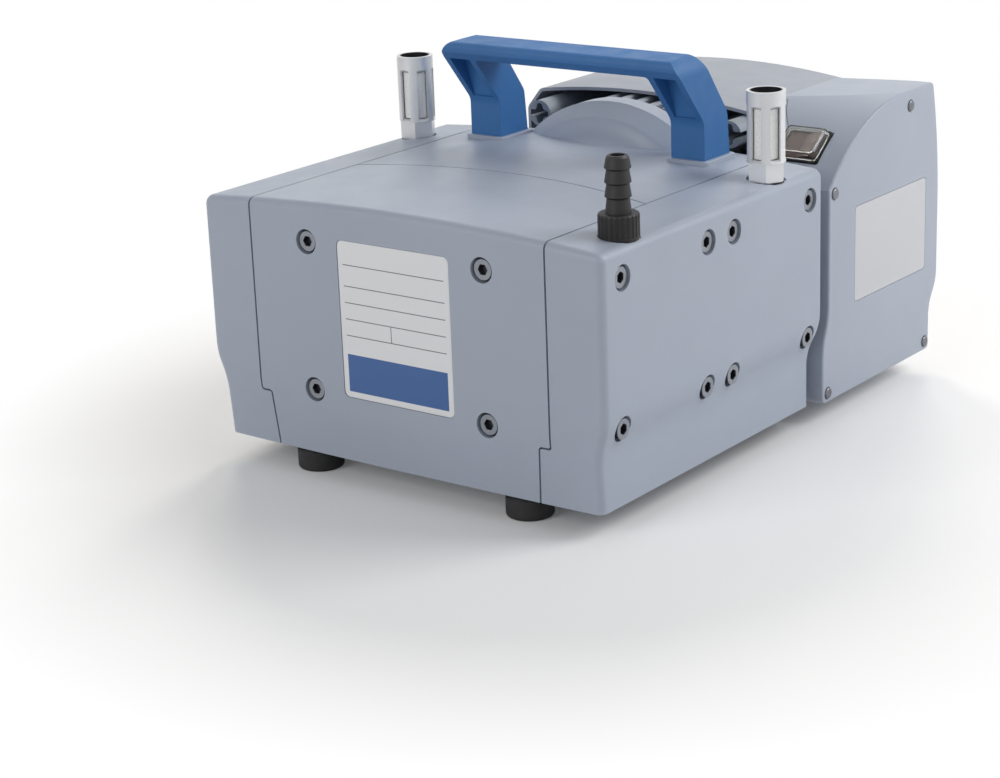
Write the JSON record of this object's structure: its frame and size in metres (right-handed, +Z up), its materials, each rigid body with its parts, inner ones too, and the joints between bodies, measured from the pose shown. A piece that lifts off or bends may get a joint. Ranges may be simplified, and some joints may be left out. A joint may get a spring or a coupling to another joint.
{
  "type": "diaphragm vacuum pump",
  "caption": "Oil-free diaphragm vacuum pump with twin pump heads, a flanged motor under a hood, a carrying handle, a barbed inlet nozzle and exhaust silencers.",
  "frame": {"origin": "centre of the bounding box in X and Y, on the floor under the rubber feet", "axes": "+X to the terminal box side, +Y along the shaft from the nameplate to the fan grille, +Z up"},
  "size_m": [0.243, 0.325, 0.1979],
  "materials": {
    "body_paint": "fine blue-grey powder coat",
    "hood_paint": "fine light grey powder coat",
    "cast_metal": "satin extruded",
    "plain_metal": "machined",
    "screw_steel": "zinc plated",
    "bearing_steel": "ground",
    "iron": "bare",
    "copper": "lacquered copper wire",
    "diaphragm_rubber": "matt",
    "black_plastic": "satin",
    "foot_rubber": "matt",
    "handle_blue": "satin moulded",
    "nameplate_film": "satin printed film",
    "label_film": "satin film",
    "rocker_red": "satin moulded",
    "clear_cover": "clear soft plastic",
    "silencer_metal": "nickel plated",
    "sintered_insert": "porous sintered",
    "capacitor_can": "drawn can",
    "zinc_sheet": "zinc plated"
  },
  "bodies": {
    "pump": {"crankcase": "body_paint", "front_cover": "body_paint", "head_cover_left": "body_paint", "head_cover_right": "body_paint", "motor_flange": "body_paint", "fan_hood": "hood_paint", "terminal_box": "hood_paint", "terminal_box_cover": "hood_paint", "motor_housing": "cast_metal", "motor_end_shield": "cast_metal", "head_plate_front_right": "plain_metal", "head_plate_front_left": "plain_metal", "head_plate_rear_right": "plain_metal", "head_plate_rear_left": "plain_metal", "front_cover_screws": "screw_steel", "head_cover_screws": "screw_steel", "hood_screws": "screw_steel", "foot_screws": "screw_steel", "terminal_box_screws": "screw_steel", "handle_studs": "screw_steel", "shaft_bearings": "bearing_steel", "stator_core": "iron", "stator_windings": "copper", "diaphragm_front_right": "diaphragm_rubber", "diaphragm_front_left": "diaphragm_rubber", "diaphragm_rear_right": "diaphragm_rubber", "diaphragm_rear_left": "diaphragm_rubber", "valve_discs": "diaphragm_rubber", "hose_nozzle": "black_plastic", "mains_inlet": "black_plastic", "switch_frame": "black_plastic", "rubber_feet": "foot_rubber", "port_seals": "foot_rubber", "handle": "handle_blue", "nameplate": "nameplate_film", "side_label": "label_film", "switch_cover": "clear_cover", "silencer_left": "silencer_metal", "silencer_right": "silencer_metal", "silencer_inserts": "sintered_insert", "run_capacitor": "capacitor_can", "base_plate": "zinc_sheet"},
    "shaft": {"crankshaft": "bearing_steel", "bearing_inner_rings": "bearing_steel", "counterweights": "iron", "rotor": "iron", "cooling_fan": "black_plastic"},
    "rod_front_right": {"connecting_rod_front_right": "plain_metal", "rod_bearing_front_right": "bearing_steel", "clamp_disc_front_right": "plain_metal"},
    "rod_front_left": {"connecting_rod_front_left": "plain_metal", "rod_bearing_front_left": "bearing_steel", "clamp_disc_front_left": "plain_metal"},
    "rod_rear_right": {"connecting_rod_rear_right": "plain_metal", "rod_bearing_rear_right": "bearing_steel", "clamp_disc_rear_right": "plain_metal"},
    "rod_rear_left": {"connecting_rod_rear_left": "plain_metal", "rod_bearing_rear_left": "bearing_steel", "clamp_disc_rear_left": "plain_metal"},
    "rocker": {"switch_rocker": "rocker_red"}
  },
  "joints": [
    {"name": "shaft_spin", "type": "hinge", "parent": "pump", "child": "shaft", "pos_m": [0, 0, 0.088], "axis": [0, 1, 0], "continuous": true},
    {"name": "rod_front_right_swing", "type": "hinge", "parent": "shaft", "child": "rod_front_right", "pos_m": [0.0035, -0.1104, 0.088], "axis": [0, 1, 0], "continuous": true, "deforming": ["diaphragm_front_right"]},
    {"name": "rod_front_left_swing", "type": "hinge", "parent": "shaft", "child": "rod_front_left", "pos_m": [0.0035, -0.1104, 0.088], "axis": [0, 1, 0], "continuous": true, "deforming": ["diaphragm_front_left"]},
    {"name": "rod_rear_right_swing", "type": "hinge", "parent": "shaft", "child": "rod_rear_right", "pos_m": [-0.0035, -0.0154, 0.088], "axis": [0, 1, 0], "continuous": true, "deforming": ["diaphragm_rear_right"]},
    {"name": "rod_rear_left_swing", "type": "hinge", "parent": "shaft", "child": "rod_rear_left", "pos_m": [-0.0035, -0.0154, 0.088], "axis": [0, 1, 0], "continuous": true, "deforming": ["diaphragm_rear_left"]},
    {"name": "switch_rocker", "type": "hinge", "parent": "pump", "child": "rocker", "pos_m": [0.094, 0.06251, 0.13914], "axis": [0, 0.811, 0.5851], "range_deg": [0, 18]}
  ],
  "couplings": [
    {"joint": "rod_front_right_swing", "follows": "shaft_spin", "ratio": -1},
    {"joint": "rod_front_left_swing", "follows": "shaft_spin", "ratio": -1},
    {"joint": "rod_rear_right_swing", "follows": "shaft_spin", "ratio": -1},
    {"joint": "rod_rear_left_swing", "follows": "shaft_spin", "ratio": -1}
  ]
}
